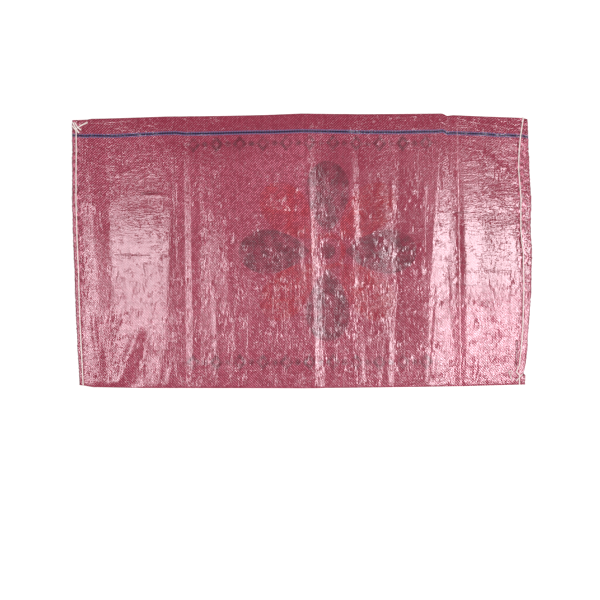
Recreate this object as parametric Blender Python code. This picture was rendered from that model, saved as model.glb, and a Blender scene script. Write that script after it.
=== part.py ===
"""A flat, empty sack of woven polypropylene, lying on its back panel.

The cloth is a tube woven in the round and pressed flat. One end is sewn shut, and the other is the mouth, with
its hem turned in. X runs along the bag from the sewn bottom to the mouth, Y runs across it from the plain edge
to the striped edge, and Z is up. Lengths are in millimetres until a mesh or a curve is made.
"""

import math
from collections import namedtuple
from functools import lru_cache

import bmesh
import bpy

MM = 0.001
BAG_LENGTH = 750.0
BAG_WIDTH = 450.0

# The cloth is drawn thicker than the real tape fabric, so that it is a sound solid.
SHEET = 1.0
HEM_SHEET = 1.6
LEAST_GAP = 0.4  # between the two panels where they lie closest
HEM_DEPTH = 20.0
SEAM_INSET = 8.0  # of the bottom seam from the cut edge
RAW_EDGE_SLIT = 4.0  # how far the two cut edges stay apart outside the seam
CAVITY_START = 13.0  # the inside of the bag begins this far from the cut edge

THREAD = 1.2
CLEARANCE = 0.3

STATION_STEP = 17.0
COLUMN_STEP = 24.0
LINING_COLUMN_STEP = 70.0
OVERSHOOT = 6.0  # cutters run this far out of the mouth and the cut edge
EDGE_TURN_STEPS = 4  # of a thread round a folded edge

# The folded long edges: how far in from the edge each column lies, and its share of the half thickness there.
EdgeColumn = namedtuple("EdgeColumn", "inset share")
FOLD_EDGE = (EdgeColumn(0.0, 0.4), EdgeColumn(0.35, 0.8), EdgeColumn(1.2, 1.0))

# Lines across the bag where the cloth changes slope. along_plain and along_striped are where a line meets the
# two long edges, lift is the underside's height there and half way across, and stack is the height from the
# underside of the back panel to the top of the front panel. sharp is 1 for a crease and 0 for a soft swell.
FoldLine = namedtuple("FoldLine", "along_plain along_striped lift_plain lift_middle lift_striped stack sharp")
FOLD_LINES = (
    FoldLine(0.0, 0.0, 1.5, 1.5, 1.5, 2.4, 1.0),
    FoldLine(8.0, 8.0, 1.6, 1.6, 1.6, 2.4, 1.0),
    FoldLine(16.0, 16.0, 1.5, 1.5, 1.5, 2.6, 0.6),
    FoldLine(52.0, 46.0, 0.1, 0.1, 0.1, 3.4, 0.3),
    FoldLine(92.0, 90.0, 0.0, 0.0, 0.0, 3.9, 0.3),
    FoldLine(147.0, 160.0, 0.9, 1.1, 0.8, 3.7, 0.8),
    FoldLine(184.0, 174.0, 0.0, 0.0, 0.0, 3.2, 0.8),
    FoldLine(195.0, 188.0, 1.2, 1.3, 0.8, 3.0, 1.0),
    FoldLine(208.0, 203.0, 0.2, 0.2, 0.1, 3.0, 0.5),
    FoldLine(262.0, 260.0, 0.0, 0.0, 0.0, 3.6, 0.3),
    FoldLine(338.0, 334.0, 0.0, 0.0, 0.0, 3.3, 0.3),
    FoldLine(372.0, 364.0, 0.5, 0.6, 0.3, 3.0, 0.7),
    FoldLine(394.0, 384.0, 1.9, 2.1, 1.2, 2.9, 1.0),
    FoldLine(402.0, 394.0, 0.7, 0.8, 0.4, 2.9, 0.8),
    FoldLine(409.0, 401.0, 1.1, 1.2, 0.7, 2.9, 0.9),
    FoldLine(418.0, 411.0, 0.1, 0.1, 0.0, 2.9, 0.6),
    FoldLine(447.0, 436.0, 0.0, 0.1, 0.0, 3.2, 0.4),
    FoldLine(468.0, 456.0, 0.8, 1.0, 0.7, 3.0, 0.9),
    FoldLine(483.0, 470.0, 0.0, 0.0, 0.0, 3.0, 0.6),
    FoldLine(508.0, 508.0, 0.8, 0.8, 0.5, 3.2, 0.4),
    FoldLine(530.0, 537.0, 0.0, 0.0, 0.0, 2.8, 1.0),
    FoldLine(578.0, 600.0, 1.4, 1.3, 0.9, 3.1, 0.7),
    FoldLine(592.0, 613.0, 1.2, 1.1, 0.7, 3.0, 0.7),
    FoldLine(599.0, 619.0, 1.0, 0.9, 0.6, 3.0, 0.7),
    FoldLine(614.0, 628.0, 0.7, 0.6, 0.3, 2.9, 0.7),
    FoldLine(641.0, 638.0, 0.0, 0.0, 0.0, 2.7, 1.0),
    FoldLine(653.0, 648.0, 1.0, 0.9, 0.5, 3.0, 0.7),
    FoldLine(672.0, 668.0, 0.1, 0.1, 0.1, 3.3, 0.4),
    FoldLine(700.0, 700.0, 0.0, 0.0, 0.0, 3.3, 0.4),
    FoldLine(726.0, 726.0, 1.5, 1.5, 1.5, 3.6, 0.6),
    FoldLine(730.0, 730.0, 1.6, 1.6, 1.6, 3.7, 1.0),
    FoldLine(750.0, 750.0, 1.6, 1.6, 1.6, 3.7, 1.0),
)

# How far each edge of the bag stands out from the plain 750 by 450 rectangle.
EdgeMark = namedtuple("EdgeMark", "at out")
STRIPED_EDGE = (
    EdgeMark(0.0, -6.5),
    EdgeMark(24.0, -6.0),
    EdgeMark(28.0, -4.5),
    EdgeMark(75.0, -3.0),
    EdgeMark(150.0, -0.5),
    EdgeMark(240.0, 0.5),
    EdgeMark(310.0, 2.0),
    EdgeMark(375.0, 4.5),
    EdgeMark(475.0, 3.5),
    EdgeMark(611.0, 4.5),
    EdgeMark(619.0, 0.5),
    EdgeMark(628.0, 1.8),
    EdgeMark(708.0, -1.5),
    EdgeMark(742.0, -3.0),
    EdgeMark(750.0, -5.0),
)
PLAIN_EDGE = (
    EdgeMark(0.0, -2.0),
    EdgeMark(9.0, -1.0),
    EdgeMark(24.0, 1.5),
    EdgeMark(108.0, 3.0),
    EdgeMark(375.0, 3.5),
    EdgeMark(508.0, 2.0),
    EdgeMark(642.0, 0.0),
    EdgeMark(750.0, -3.0),
)
BOTTOM_END = (
    EdgeMark(0.0, -7.5),
    EdgeMark(45.0, -5.0),
    EdgeMark(110.0, -1.7),
    EdgeMark(177.0, 0.5),
    EdgeMark(243.0, 3.3),
    EdgeMark(310.0, 5.0),
    EdgeMark(450.0, 5.0),
)
NICK = (17.0, 20.0, 24.0, 34.0)  # where the mouth turns in and out at its nick, across the bag
MOUTH_END = (
    EdgeMark(0.0, -1.7),
    EdgeMark(NICK[0], -1.2),
    EdgeMark(NICK[1], -5.5),
    EdgeMark(NICK[2], -5.5),
    EdgeMark(NICK[3], -0.5),
    EdgeMark(60.0, 1.7),
    EdgeMark(110.0, 5.0),
    EdgeMark(160.0, 8.3),
    EdgeMark(227.0, 9.8),
    EdgeMark(262.0, 7.3),
    EdgeMark(310.0, 8.5),
    EdgeMark(377.0, 5.0),
    EdgeMark(450.0, 2.5),
)
END_REACH = 150.0  # the waver of an end dies out this far into the bag

# The hem thread's distance from the mouth's edge, across the bag.
SeamMark = namedtuple("SeamMark", "across inset")
MOUTH_SEAM = (
    SeamMark(0.0, 8.5),
    SeamMark(45.0, 10.0),
    SeamMark(78.0, 6.5),
    SeamMark(112.0, 8.3),
    SeamMark(162.0, 11.7),
    SeamMark(245.0, 14.8),
    SeamMark(312.0, 15.5),
    SeamMark(395.0, 14.0),
    SeamMark(428.0, 9.6),
    SeamMark(450.0, 6.5),
)

# Loose ends of thread, from the free end to where the seam begins, as places on the front panel.
Place = namedtuple("Place", "along across")
BOTTOM_TAIL = (
    Place(15.0, 423.0),
    Place(11.5, 427.0),
    Place(8.5, 431.0),
    Place(5.6, 435.0),
    Place(3.3, 437.0),
    Place(1.8, 435.2),
    Place(1.7, 432.0),
    Place(3.2, 429.0),
    Place(5.6, 426.0),
    Place(7.6, 422.5),
)
MOUTH_TAIL = (
    Place(729.0, 22.0),
    Place(726.0, 26.0),
    Place(721.5, 25.0),
    Place(719.8, 20.5),
    Place(721.5, 15.5),
    Place(726.0, 11.5),
    Place(731.5, 9.5),
    Place(736.5, 11.5),
    Place(739.5, 16.0),
    Place(740.0, 22.0),
    Place(739.8, 30.0),
)

# Ripples that the stitching draws into the front panel, highest beside a seam and gone PUCKER_REACH from it.
Pucker = namedtuple("Pucker", "pitch height phase")
PUCKERS = (Pucker(84.0, 0.45, 0.6), Pucker(53.0, 0.35, 2.1))
PUCKER_REACH = 90.0
PUCKER_EDGE = 30.0  # the ripples die out this far from the folded edges

CLOTH_COLOUR = (0.42, 0.062, 0.105, 1.0)
THREAD_COLOUR = (0.82, 0.78, 0.72, 1.0)


def blend(low, high, share):
    return low + (high - low) * share


def read_marks(marks, at):
    """The second column of a table at a place in its first, along straight lines between the rows."""
    if at <= marks[0][0]:
        return marks[0][1]
    for low, high in zip(marks, marks[1:]):
        if at <= high[0]:
            return blend(low[1], high[1], (at - low[0]) / (high[0] - low[0]))
    return marks[-1][1]


def fold_curve(share, sharp_start, sharp_end):
    """From 0 to 1 along a cubic that leaves and arrives level at a soft swell and straight at a crease."""
    rise = 3 * share**2 - 2 * share**3
    leave = share**3 - 2 * share**2 + share
    arrive = share**3 - share**2
    return rise + leave * sharp_start + arrive * sharp_end


def between(start, end, share):
    """The line across the bag that lies this share of the way from one fold line to the next."""
    eased = fold_curve(share, start.sharp, end.sharp)
    return FoldLine(
        blend(start.along_plain, end.along_plain, share),
        blend(start.along_striped, end.along_striped, share),
        blend(start.lift_plain, end.lift_plain, eased),
        blend(start.lift_middle, end.lift_middle, eased),
        blend(start.lift_striped, end.lift_striped, eased),
        blend(start.stack, end.stack, eased),
        0.0,
    )


@lru_cache
def station_lines():
    """The fold lines with even steps between them."""
    lines = [FOLD_LINES[0]]
    for start, end in zip(FOLD_LINES, FOLD_LINES[1:]):
        gap = max(end.along_plain - start.along_plain, end.along_striped - start.along_striped)
        steps = max(1, math.ceil(gap / STATION_STEP))
        lines += [between(start, end, step / steps) for step in range(1, steps)]
        lines.append(end)
    return tuple(lines)


@lru_cache
def columns_across(step, inset, edge_columns):
    """Each column's place across the bag and share of the half thickness, rounded at both folded edges."""
    columns = {place: 1.0 for place in NICK}
    for column in edge_columns:
        columns[inset + column.inset] = column.share
        columns[BAG_WIDTH - inset - column.inset] = column.share
    count = round((BAG_WIDTH - inset - NICK[-1]) / step)
    for number in range(1, count):
        columns[blend(NICK[-1], BAG_WIDTH - inset, number / count)] = 1.0
    return tuple(sorted(columns.items()))


def along_at(line, across):
    return blend(line.along_plain, line.along_striped, across / BAG_WIDTH)


def lift_at(line, across):
    """The underside's height, on a smooth curve through its heights at both edges and half way across."""
    share = across / BAG_WIDTH
    bow = line.lift_middle - (line.lift_plain + line.lift_striped) / 2
    return max(0.0, blend(line.lift_plain, line.lift_striped, share) + bow * 4 * share * (1 - share))


def sheet_at(along):
    return HEM_SHEET if along >= BAG_LENGTH - HEM_DEPTH else SHEET


def stack_at(line, across):
    """The height of both panels together. They lie closest along the folded edges."""
    fullness = math.sin(math.pi * min(max(across / BAG_WIDTH, 0.0), 1.0)) ** 0.5
    least = 2 * sheet_at(line.along_plain) + LEAST_GAP
    return blend(least, max(least, line.stack), fullness)


def flat_place(along, across):
    """Where a place on the pressed tube lies on the table."""
    near_bottom = max(0.0, 1 - along / END_REACH) ** 2
    near_mouth = max(0.0, 1 - (BAG_LENGTH - along) / END_REACH) ** 2
    x = along - BAG_LENGTH / 2
    x -= read_marks(BOTTOM_END, across) * min(near_bottom, 1.0)
    x += read_marks(MOUTH_END, across) * min(near_mouth, 1.0)
    plain_out = read_marks(PLAIN_EDGE, along)
    striped_out = read_marks(STRIPED_EDGE, along)
    share = across / BAG_WIDTH
    y = blend(-BAG_WIDTH / 2 - plain_out, BAG_WIDTH / 2 + striped_out, share)
    return x, y


def pucker_at(along, across):
    """Extra height of the front panel beside the two seams."""
    from_seam = min(abs(along - SEAM_INSET), abs(BAG_LENGTH - HEM_DEPTH / 2 - along))
    nearness = max(0.0, 1 - from_seam / PUCKER_REACH)
    ripple = sum(
        p.height * (0.5 + 0.5 * math.sin(math.tau * across / p.pitch + p.phase)) for p in PUCKERS
    )
    edge_fade = min(1.0, across / PUCKER_EDGE, (BAG_WIDTH - across) / PUCKER_EDGE)
    return ripple * nearness * edge_fade


def top_at(line, across):
    along = along_at(line, across)
    return lift_at(line, across) + stack_at(line, across) + pucker_at(along, across)


def grid_box(name, lines, columns, place):
    """A cube cut into one row of points at each line and column, each point then moved to its place."""
    bm = bmesh.new()
    bmesh.ops.create_cube(bm, size=1.0)
    for axis, cuts in ((0, len(lines) - 2), (1, len(columns) - 2)):
        running = [e for e in bm.edges if abs(e.verts[0].co[axis] - e.verts[1].co[axis]) > 0.5]
        bmesh.ops.subdivide_edges(bm, edges=running, cuts=cuts, use_grid_fill=True)
    for vert in bm.verts:
        line = lines[round((vert.co.x + 0.5) * (len(lines) - 1))]
        across, share = columns[round((vert.co.y + 0.5) * (len(columns) - 1))]
        vert.co = [value * MM for value in place(line, across, share, vert.co.z > 0)]
    bmesh.ops.recalc_face_normals(bm, faces=bm.faces)
    mesh = bpy.data.meshes.new(name)
    bm.to_mesh(mesh)
    bm.free()
    return bpy.data.objects.new(name, mesh)


def outer_place(line, across, share, is_top):
    along = along_at(line, across)
    x, y = flat_place(along, across)
    half = stack_at(line, across) / 2
    z = lift_at(line, across) + half + half * share * (1 if is_top else -1)
    if is_top and share == 1.0:
        z += pucker_at(along, across)
    return x, y, z


def inner_place(line, across, share, is_top):
    along = along_at(line, across)
    x, y = flat_place(min(along, BAG_LENGTH), across)
    x += max(0.0, along - BAG_LENGTH)
    half = stack_at(line, across) / 2
    gap_half = half - sheet_at(line.along_plain)
    z = lift_at(line, across) + half + gap_half * share * (1 if is_top else -1)
    return x, y, z


def slit_place(line, across, share, is_top):
    along = along_at(line, across)
    x, y = flat_place(max(along, 0.0), across)
    x += min(0.0, along)
    half = stack_at(line, across) / 2
    z = lift_at(line, across) + half + LEAST_GAP / 2 * share * (1 if is_top else -1)
    return x, y, z


def shifted(line, along):
    return line._replace(along_plain=along, along_striped=along)


def cloth_object(parts, cutters, material):
    """The pressed tube: a closed slab, less the inside of the bag and the slit between the two cut edges."""
    lines = station_lines()
    bag = grid_box("bag_cloth", lines, columns_across(COLUMN_STEP, 0.0, FOLD_EDGE), outer_place)
    parts.objects.link(bag)
    bag.data.materials.append(material)

    deeper = [line for line in lines if line.along_plain > CAVITY_START]
    past_mouth = shifted(lines[-1], BAG_LENGTH + OVERSHOOT)
    hollow = [shifted(deeper[0], CAVITY_START), *deeper, past_mouth]
    lining = columns_across(LINING_COLUMN_STEP, SHEET, FOLD_EDGE[:2])
    inside = grid_box("bag_inside", hollow, lining, inner_place)

    cut_edge = [shifted(lines[0], -OVERSHOOT), lines[0], shifted(lines[0], RAW_EDGE_SLIT)]
    slit = grid_box("cut_edge_slit", cut_edge, lining, slit_place)

    for cutter in (inside, slit):
        cutters.objects.link(cutter)
        cutter.hide_render = True
        cutter.display_type = "WIRE"
        cut = bag.modifiers.new(cutter.name, "BOOLEAN")
        cut.operation = "DIFFERENCE"
        cut.solver = "EXACT"
        cut.object = cutter
    bag.data.shade_smooth()
    return bag


def on_panel(along, across, front):
    """The centre of a thread that lies against the front panel, or against the back panel's underside."""
    lines = station_lines()
    columns = [column for column, share in columns_across(COLUMN_STEP, 0.0, FOLD_EDGE)]
    height = top_at if front else lift_at

    def height_on(column):
        for low, high in zip(lines, lines[1:]):
            if along <= along_at(high, column):
                share = (along - along_at(low, column)) / (along_at(high, column) - along_at(low, column))
                return blend(height(low, column), height(high, column), share)
        return height(lines[-1], column)

    for low, high in zip(columns, columns[1:]):
        if across <= high:
            share = (across - low) / (high - low)
            level = blend(height_on(low), height_on(high), share)
            break
    x, y = flat_place(along, across)
    away = CLEARANCE + THREAD / 2
    return x, y, level + away if front else level - away


def round_edge(along, across):
    """Points round a folded edge, from the front panel to the back panel."""
    outwards = 1 if across > BAG_WIDTH / 2 else -1
    x, y = flat_place(along, across)
    line = min(station_lines(), key=lambda s: abs(along_at(s, across) - along))
    half = stack_at(line, across) / 2
    middle = lift_at(line, across) + half
    inset = THREAD / 2
    reach = inset + CLEARANCE + THREAD / 2
    rise = half + CLEARANCE + THREAD / 2
    turns = [math.pi * (0.5 - step / EDGE_TURN_STEPS) for step in range(EDGE_TURN_STEPS + 1)]
    return [
        (x, y + outwards * (reach * math.cos(turn) - inset), middle + rise * math.sin(turn)) for turn in turns
    ]


def thread_object(name, route, parts, material):
    """A thread as a round wire through the points of its route."""
    curve = bpy.data.curves.new(name, "CURVE")
    curve.dimensions = "3D"
    curve.bevel_depth = THREAD / 2 * MM
    curve.bevel_resolution = 2
    curve.use_fill_caps = True
    spline = curve.splines.new("POLY")
    spline.points.add(len(route) - 1)
    for point, place in zip(spline.points, route):
        point.co = (*(value * MM for value in place), 1.0)
    curve.materials.append(material)
    thread = bpy.data.objects.new(name, curve)
    parts.objects.link(thread)
    return thread


def seam_columns(first, last):
    """The cloth's own columns between two places, so that a thread and the cloth bend at the same points."""
    columns = [column for column, share in columns_across(COLUMN_STEP, 0.0, FOLD_EDGE) if share == 1.0]
    return [column for column in columns if first <= column <= last]


def bottom_thread(parts, material):
    """From the loose tail down the front, round the plain edge and back up behind."""
    down = seam_columns(0.0, BOTTOM_TAIL[-1].across - COLUMN_STEP / 3)
    route = [on_panel(place.along, place.across, True) for place in BOTTOM_TAIL]
    route += [on_panel(SEAM_INSET, across, True) for across in reversed(down)]
    route += round_edge(SEAM_INSET, 0.0)
    route += [on_panel(SEAM_INSET, across, False) for across in seam_columns(0.0, BAG_WIDTH)]
    return thread_object("bottom_seam_thread", route, parts, material)


def mouth_thread(parts, material):
    """From the curled loose end up the front, round the striped edge and back down behind."""

    def seam(across, front):
        return on_panel(BAG_LENGTH - read_marks(MOUTH_SEAM, across), across, front)

    up = seam_columns(MOUTH_TAIL[-1].across + COLUMN_STEP / 3, BAG_WIDTH)
    route = [on_panel(place.along, place.across, True) for place in MOUTH_TAIL]
    route += [seam(across, True) for across in up]
    route += round_edge(BAG_LENGTH - MOUTH_SEAM[-1].inset, BAG_WIDTH)
    route += [seam(across, False) for across in reversed(seam_columns(0.0, BAG_WIDTH))]
    return thread_object("mouth_hem_thread", route, parts, material)


def plain_material(name, colour, roughness):
    material = bpy.data.materials.new(name)
    material.use_nodes = True
    shader = material.node_tree.nodes["Principled BSDF"]
    shader.inputs["Base Color"].default_value = colour
    shader.inputs["Roughness"].default_value = roughness
    shader.inputs["Metallic"].default_value = 0.0
    return material


def centre_on_table(pieces, cloth):
    """Puts the middle of the cloth's outline over the origin, with its lowest point at height 0."""
    corners = [vert.co for vert in cloth.data.vertices]
    low = [min(corner[axis] for corner in corners) for axis in range(3)]
    high = [max(corner[axis] for corner in corners) for axis in range(3)]
    for piece in pieces:
        piece.location = (-(low[0] + high[0]) / 2, -(low[1] + high[1]) / 2, -low[2])


def main():
    for old in list(bpy.data.objects):
        bpy.data.objects.remove(old, do_unlink=True)
    parts = bpy.data.collections.new("woven_bag")
    cutters = bpy.data.collections.new("cutters")
    for collection in (parts, cutters):
        bpy.context.scene.collection.children.link(collection)

    cloth_material = plain_material("filmed_tape_cloth", CLOTH_COLOUR, 0.35)
    thread_material = plain_material("sewing_thread", THREAD_COLOUR, 0.8)
    cloth = cloth_object(parts, cutters, cloth_material)
    threads = [bottom_thread(parts, thread_material), mouth_thread(parts, thread_material)]
    centre_on_table([cloth, *cutters.objects, *threads], cloth)


main()
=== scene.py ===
import math
from collections import namedtuple

import bpy
import numpy as np
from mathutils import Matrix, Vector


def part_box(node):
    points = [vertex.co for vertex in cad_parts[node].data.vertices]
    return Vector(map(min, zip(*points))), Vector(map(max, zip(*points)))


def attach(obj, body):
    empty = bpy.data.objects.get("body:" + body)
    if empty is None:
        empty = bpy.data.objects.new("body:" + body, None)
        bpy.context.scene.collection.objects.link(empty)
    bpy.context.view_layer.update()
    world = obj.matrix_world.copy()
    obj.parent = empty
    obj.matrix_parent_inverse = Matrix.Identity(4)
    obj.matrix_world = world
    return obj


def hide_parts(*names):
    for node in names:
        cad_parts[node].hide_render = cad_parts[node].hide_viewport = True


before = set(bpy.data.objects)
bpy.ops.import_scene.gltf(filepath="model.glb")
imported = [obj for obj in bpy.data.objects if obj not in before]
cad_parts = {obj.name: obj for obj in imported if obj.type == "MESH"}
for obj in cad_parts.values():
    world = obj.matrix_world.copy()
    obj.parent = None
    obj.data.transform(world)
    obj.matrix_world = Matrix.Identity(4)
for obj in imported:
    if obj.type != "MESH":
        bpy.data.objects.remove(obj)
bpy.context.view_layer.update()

# A flat, empty sack of glossy woven tape cloth. Lengths are in millimetres until a mesh is made. along runs
# from the sewn bottom (0) to the mouth (750), and across from the plain edge (0) to the striped edge (450).
mm = 0.001

bag = {
    "length": 750.0,
    "width": 450.0,
    "sheet": 0.2,  # thickness of the filmed cloth
    "edgeStack": 1.1,  # both panels together along the folded edges
    "thinner": 1.3,  # taken off the stack heights below, which suit a thicker sheet
    "hemDepth": 20.0,
    "hemUneven": 0.9,  # how far its cut edge wavers
    "hemUnevenPitch": 9.0,
    "hemGap": 0.32,  # from the front of the hem to the front of the panel over it
    "hemTurnSteps": 4,
    "hemSteps": 9,
    "endReach": 150.0,  # how far into the bag an end's waver reaches
    "scallop": 0.45,  # how far the ends stand out between the stitches
    "fray": 0.5,  # how far they stand out tape by tape
    "frayPitch": 5.0,
    "mouthFrayReach": 14.0,
    "bottomFrayReach": 8.0,
    "stationStep": 3.7,
    "seamStationStep": 2.0,
    "seamZone": 30.0,
    "frontColumns": 142,
    "backColumns": 26,
    "edgeColumns": 5,
}


def readTable(kind, rows):
    return [kind(*row) for row in rows]


def addObject(name, data):
    made = bpy.data.objects.new(name, data)
    bpy.context.scene.collection.objects.link(made)
    return made


# Lines across the bag where the cloth changes slope: where each meets the two long edges, the underside's
# height there and half way across, the height of both panels together, and 1 for a crease or 0 for a swell.
FoldLine = namedtuple("FoldLine", "alongPlain alongStriped liftPlain liftMiddle liftStriped stack sharp")
foldLines = readTable(FoldLine, (
    (0, 0, 1.5, 1.5, 1.5, 2.0, 1.0),
    (8, 8, 1.6, 1.15, 1.2, 2.0, 1.0),
    (17, 14, 1.5, 1.75, 1.5, 2.5, 0.9),
    (46, 20, 0.3, 1.9, 2.1, 3.0, 0.9),
    (72, 50, 0.2, 0.35, 0.2, 2.8, 0.8),
    (100, 90, 0.0, 0.0, 0.0, 3.4, 0.2),
    (150, 161, 0.9, 1.1, 0.8, 3.5, 0.9),
    (188, 178, 0.0, 0.0, 0.0, 3.2, 0.9),
    (195, 189, 0.7, 1.25, 0.8, 3.0, 1.0),
    (208, 203, 0.2, 0.1, 0.1, 3.0, 0.5),
    (247, 243, 0.05, 0.75, 0.5, 3.2, 0.6),
    (280, 276, 0.0, 0.7, 0.35, 3.5, 0.3),
    (338, 334, 0.0, 0.0, 0.0, 3.3, 0.3),
    (372, 364, 0.5, 0.6, 0.3, 3.0, 0.7),
    (401, 385, 1.7, 1.9, 1.2, 2.9, 1.0),
    (409, 397, 0.75, 0.65, 0.35, 2.9, 0.9),
    (415, 405, 0.1, 0.35, 0.25, 2.9, 0.6),
    (440, 430, 0.0, 0.0, 0.0, 3.1, 0.5),
    (466, 454, 0.3, 0.4, 0.95, 3.1, 0.9),
    (479, 467, 0.0, 0.1, 0.0, 3.0, 0.9),
    (508, 508, 0.15, 0.15, 0.1, 3.0, 0.3),
    (531, 540, 0.0, 0.0, 0.0, 2.8, 1.0),
    (556, 578, 0.75, 0.75, 0.6, 2.9, 0.9),
    (580, 612, 1.6, 1.65, 1.25, 3.1, 1.0),
    (592, 619, 1.15, 0.95, 0.45, 3.0, 0.7),
    (600, 624, 0.85, 0.5, 0.1, 3.0, 0.7),
    (618, 628, 0.25, 0.37, 0.6, 2.9, 0.6),
    (632, 633, 0.05, 0.58, 0.9, 2.8, 0.9),
    (640, 638, 0.55, 0.9, 1.1, 2.8, 1.0),
    (652, 646, 1.4, 1.5, 0.6, 2.9, 0.9),
    (676, 668, 0.3, 0.3, 0.2, 3.2, 0.3),
    (700, 700, 0.95, 0.95, 0.95, 3.3, 0.9),
    (726, 726, 1.5, 1.5, 1.5, 3.6, 0.6),
    (730, 730, 1.6, 1.6, 1.6, 3.7, 1.0),
    (750, 750, 1.6, 1.6, 1.6, 3.4, 1.0),
))

# How far each edge stands out from the plain rectangle: a place along or across it, and the distance out.
stripedEdge = (
    (0, -6.5), (24, -6.0), (28, -4.5), (75, -3.0), (150, -0.5), (240, 0.5), (310, 2.0), (375, 4.5),
    (475, 3.5), (611, 4.5), (619, 0.5), (628, 1.8), (708, -1.5), (742, -3.0), (750, -5.0),
)
plainEdge = (
    (0, -2.0), (9, -1.0), (24, 1.5), (108, 3.0), (375, 3.5), (508, 2.0), (642, 0.0), (750, -3.0),
)
bottomEnd = (
    (0, -7.5), (45, -5.0), (110, -1.7), (177, 0.5), (243, 3.3), (310, 5.0), (450, 5.0),
)
mouthEnd = (
    (0, -1.7), (17, -1.2), (20, -5.5), (24, -5.5), (34, -0.5), (60, 1.7), (110, 5.0), (160, 8.3), (227, 9.8),
    (262, 7.3), (310, 8.5), (377, 5.0), (450, 2.5),
)

# Single soft ridges and troughs of the front panel, from one end to the other: the half width there, and the
# height in its middle, below 0 for a trough.
SoftFold = namedtuple("SoftFold", "along across endAlong endAcross width endWidth height")
softFolds = readTable(SoftFold, (
    (106, 96, 63, -6, 6.0, 15.0, 1.5),  # the tent-shaped dent near the plain edge
    (121, 96, 102, -6, 5.0, 11.0, -1.1),
    (118, 40, 116, -6, 4.0, 5.0, 0.4),
    (103, 34, 109, -6, 5.0, 6.5, 0.6),
    (28, 135, 36, -4, 3.5, 4.5, 0.8),
    (26, 64, 28, 0, 3.5, 4.5, 0.4),
    (38, 74, 44, 0, 3.5, 4.5, 0.5),
    (56, 66, 60, 0, 3.5, 4.5, 0.2),
    (72, 44, 70, 0, 3.0, 4.0, 0.2),
    (84, 200, 88, 120, 3.0, 3.5, -0.2),
    (146, 60, 136, 0, 3.0, 6.0, 0.5),
    (160, 45, 154, 0, 3.0, 5.0, 0.5),
    (112, 321, 138, 319, 4.0, 4.0, 0.3),
    (104, 342, 124, 352, 3.0, 3.0, 0.3),
    (461, 400, 466, 255, 5.0, 5.0, 0.5),
    (379, 252, 386, 170, 2.5, 2.5, 0.45),
    (60, 352, 120, 372, 3.0, 4.0, 0.3),
    (163, 400, 167, 300, 2.5, 2.5, 0.5),
    (216, 420, 214, 300, 3.0, 3.0, 0.25),
    (233, 150, 239, 0, 2.5, 4.0, 0.45),
    (250, 330, 256, 120, 5.0, 4.0, 0.25),
    (268, 150, 262, 0, 2.5, 4.0, 0.4),
    (293, 130, 287, 0, 2.5, 4.0, 0.45),
    (300, 260, 296, 150, 4.0, 4.0, 0.3),
    (316, 110, 310, 0, 2.5, 4.0, 0.4),
    (338, 240, 330, 0, 3.0, 3.0, 0.35),
    (356, 90, 352, 0, 2.5, 4.0, 0.4),
    (363, 372, 366, 325, 3.0, 3.0, 0.5),
    (432, 110, 430, 0, 2.5, 3.0, 0.3),
    (447, 90, 444, 0, 2.5, 3.0, 0.3),
    (474, 65, 478, -4, 4.0, 5.0, 0.4),
    (527, 345, 528, 300, 2.5, 2.0, 0.35),
    (526, 215, 528, 185, 2.0, 2.5, 0.15),
    (523, 85, 521, -4, 3.0, 3.5, 0.45),
    (583, 335, 577, 300, 1.6, 2.0, 0.35),
    (578, 215, 576, 185, 2.0, 2.5, 0.35),
    (597, 160, 584, 0, 2.5, 4.0, 0.35),
    (603, 160, 594, 0, 2.5, 4.0, -0.35),
    (617, 214, 626, 90, 2.5, 3.0, -0.3),
    (690, 120, 700, 30, 3.0, 6.0, -0.2),
    (676, 330, 735, 285, 3.0, 5.0, -0.35),
    (668, 400, 724, 350, 3.0, 5.0, 0.4),
    (717, 220, 715, 20, 2.5, 3.0, -0.2),
))

# Patches of small uneven wrinkles: the middle, how far they reach, the way they run (0 along the bag, 90
# across it), the distance between them, their length and their height.
WrinklePatch = namedtuple("WrinklePatch", "along across reachAlong reachAcross turn pitch length height")
wrinklePatches = readTable(WrinklePatch, (
    (60, 350, 50, 46, 4, 9, 45, 0.38),
    (112, 285, 50, 34, 2, 9, 40, 0.22),
    (168, 230, 13, 190, 88, 7, 18, 0.28),
    (118, 368, 60, 34, 14, 8, 34, 0.30),
    (50, 50, 45, 70, 80, 10, 50, 0.17),
    (150, 60, 40, 60, 80, 9, 50, 0.22),
    (205, 340, 30, 90, 84, 8, 22, 0.16),
    (240, 370, 40, 40, 20, 8, 16, 0.16),
    (250, 80, 90, 90, 86, 11, 60, 0.07),
    (406, 225, 12, 220, 88, 9, 60, 0.30),
    (350, 130, 70, 130, 87, 10, 70, 0.20),
    (500, 290, 35, 90, 3, 9, 30, 0.22),
    (470, 100, 60, 100, 86, 12, 60, 0.16),
    (690, 350, 60, 44, -20, 10, 40, 0.34),
    (690, 285, 60, 40, 2, 8, 70, 0.18),
    (700, 70, 60, 60, 60, 10, 30, 0.12),
    (90, 436, 80, 16, 2, 9, 30, 0.20),
    (690, 436, 70, 16, 2, 9, 30, 0.24),
))

# Where the film lies tight on the weave (1 or more) or bridges it (towards 0).
WeavePatch = namedtuple("WeavePatch", "along across reachAlong reachAcross amount")
weavePatches = readTable(WeavePatch, (
    (390, 330, 90, 80, 1.3),
    (665, 250, 80, 100, 0.4),
    (690, 60, 90, 80, 2.3),
    (110, 232, 55, 115, 0.4),
    (640, 370, 90, 60, 0.7),
    (375, 440, 420, 24, 0.5),
    (230, 400, 90, 30, 0.6),
    (548, 300, 34, 130, 0.55),
    (455, 372, 70, 44, 0.6),
    (530, 110, 50, 60, 0.6),
    (500, 300, 30, 70, 0.6),
    (690, 325, 60, 45, 0.55),
    (700, 232, 60, 60, 0.25),
))

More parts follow.
